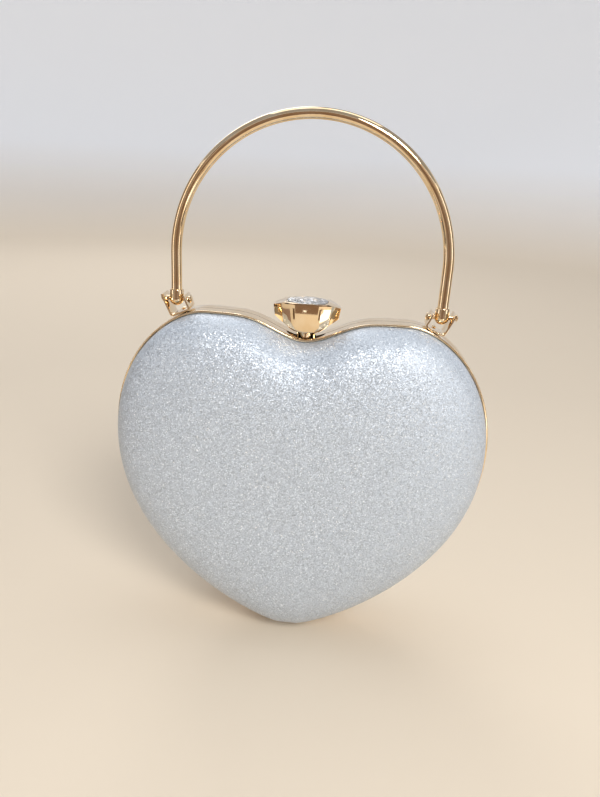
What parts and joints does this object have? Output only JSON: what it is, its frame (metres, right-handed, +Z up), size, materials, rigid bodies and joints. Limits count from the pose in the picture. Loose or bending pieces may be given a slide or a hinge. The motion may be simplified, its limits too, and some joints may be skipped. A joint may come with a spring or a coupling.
{
  "type": "clutch",
  "caption": "Heart-shaped hard-shell evening clutch with a domed glitter cover, gilt frame, swinging arch handle and a jewelled press clasp.",
  "frame": {"origin": "under the tip, in the middle of the hinge's lowest line", "axes": "+X to the right as the front is seen, -Y towards the front, +Z up through the notch"},
  "size_m": [0.18, 0.0614, 0.256],
  "materials": {
    "gilt": "polished pale gold plating",
    "steel": "bright spring and sheet steel",
    "glitter": "fine silver glitter on a coated fabric",
    "shell": "moulded ABS, matt",
    "lining": "short-pile grey lining",
    "stone": "clear cut glass"
  },
  "bodies": {
    "handle": {"handle_arch": "gilt", "handle_ball_left": "gilt", "handle_ball_right": "gilt"},
    "rear_case": {"rear_frame": "gilt", "rear_shell": "shell", "rear_cover": "glitter", "rear_lining": "lining", "bracket_left": "gilt", "bracket_right": "gilt", "bracket_rivet_left": "gilt", "bracket_rivet_right": "gilt", "pivot_pin_left": "gilt", "pivot_pin_right": "gilt", "rear_hinge_leaf": "gilt", "hinge_pin": "steel", "clasp_cage": "steel", "clasp_spring": "steel", "catch_leaf": "steel"},
    "front_case": {"front_frame": "gilt", "front_shell": "shell", "front_cover": "glitter", "front_lining": "lining", "front_hinge_leaf": "gilt", "catch_striker": "steel"},
    "clasp": {"clasp_cup": "gilt", "clasp_stone": "stone", "clasp_post": "gilt", "clasp_nut": "steel"}
  },
  "joints": [
    {"name": "handle_swing", "type": "hinge", "parent": "handle", "child": "rear_case", "pos_m": [0, 0, 0.17066], "axis": [1, 0, 0], "range_deg": [-95, 95]},
    {"name": "lid_hinge", "type": "hinge", "parent": "rear_case", "child": "front_case", "pos_m": [0, 0, 0.0014], "axis": [1, 0, 0], "range_deg": [0, 80]},
    {"name": "clasp_press", "type": "slide", "parent": "rear_case", "child": "clasp", "axis": [0, 0, -1], "range_m": [0, 0.001], "stiffness_N_per_m": 500, "springref_m": -0.004, "deforming": ["clasp_spring", "catch_leaf"]}
  ]
}
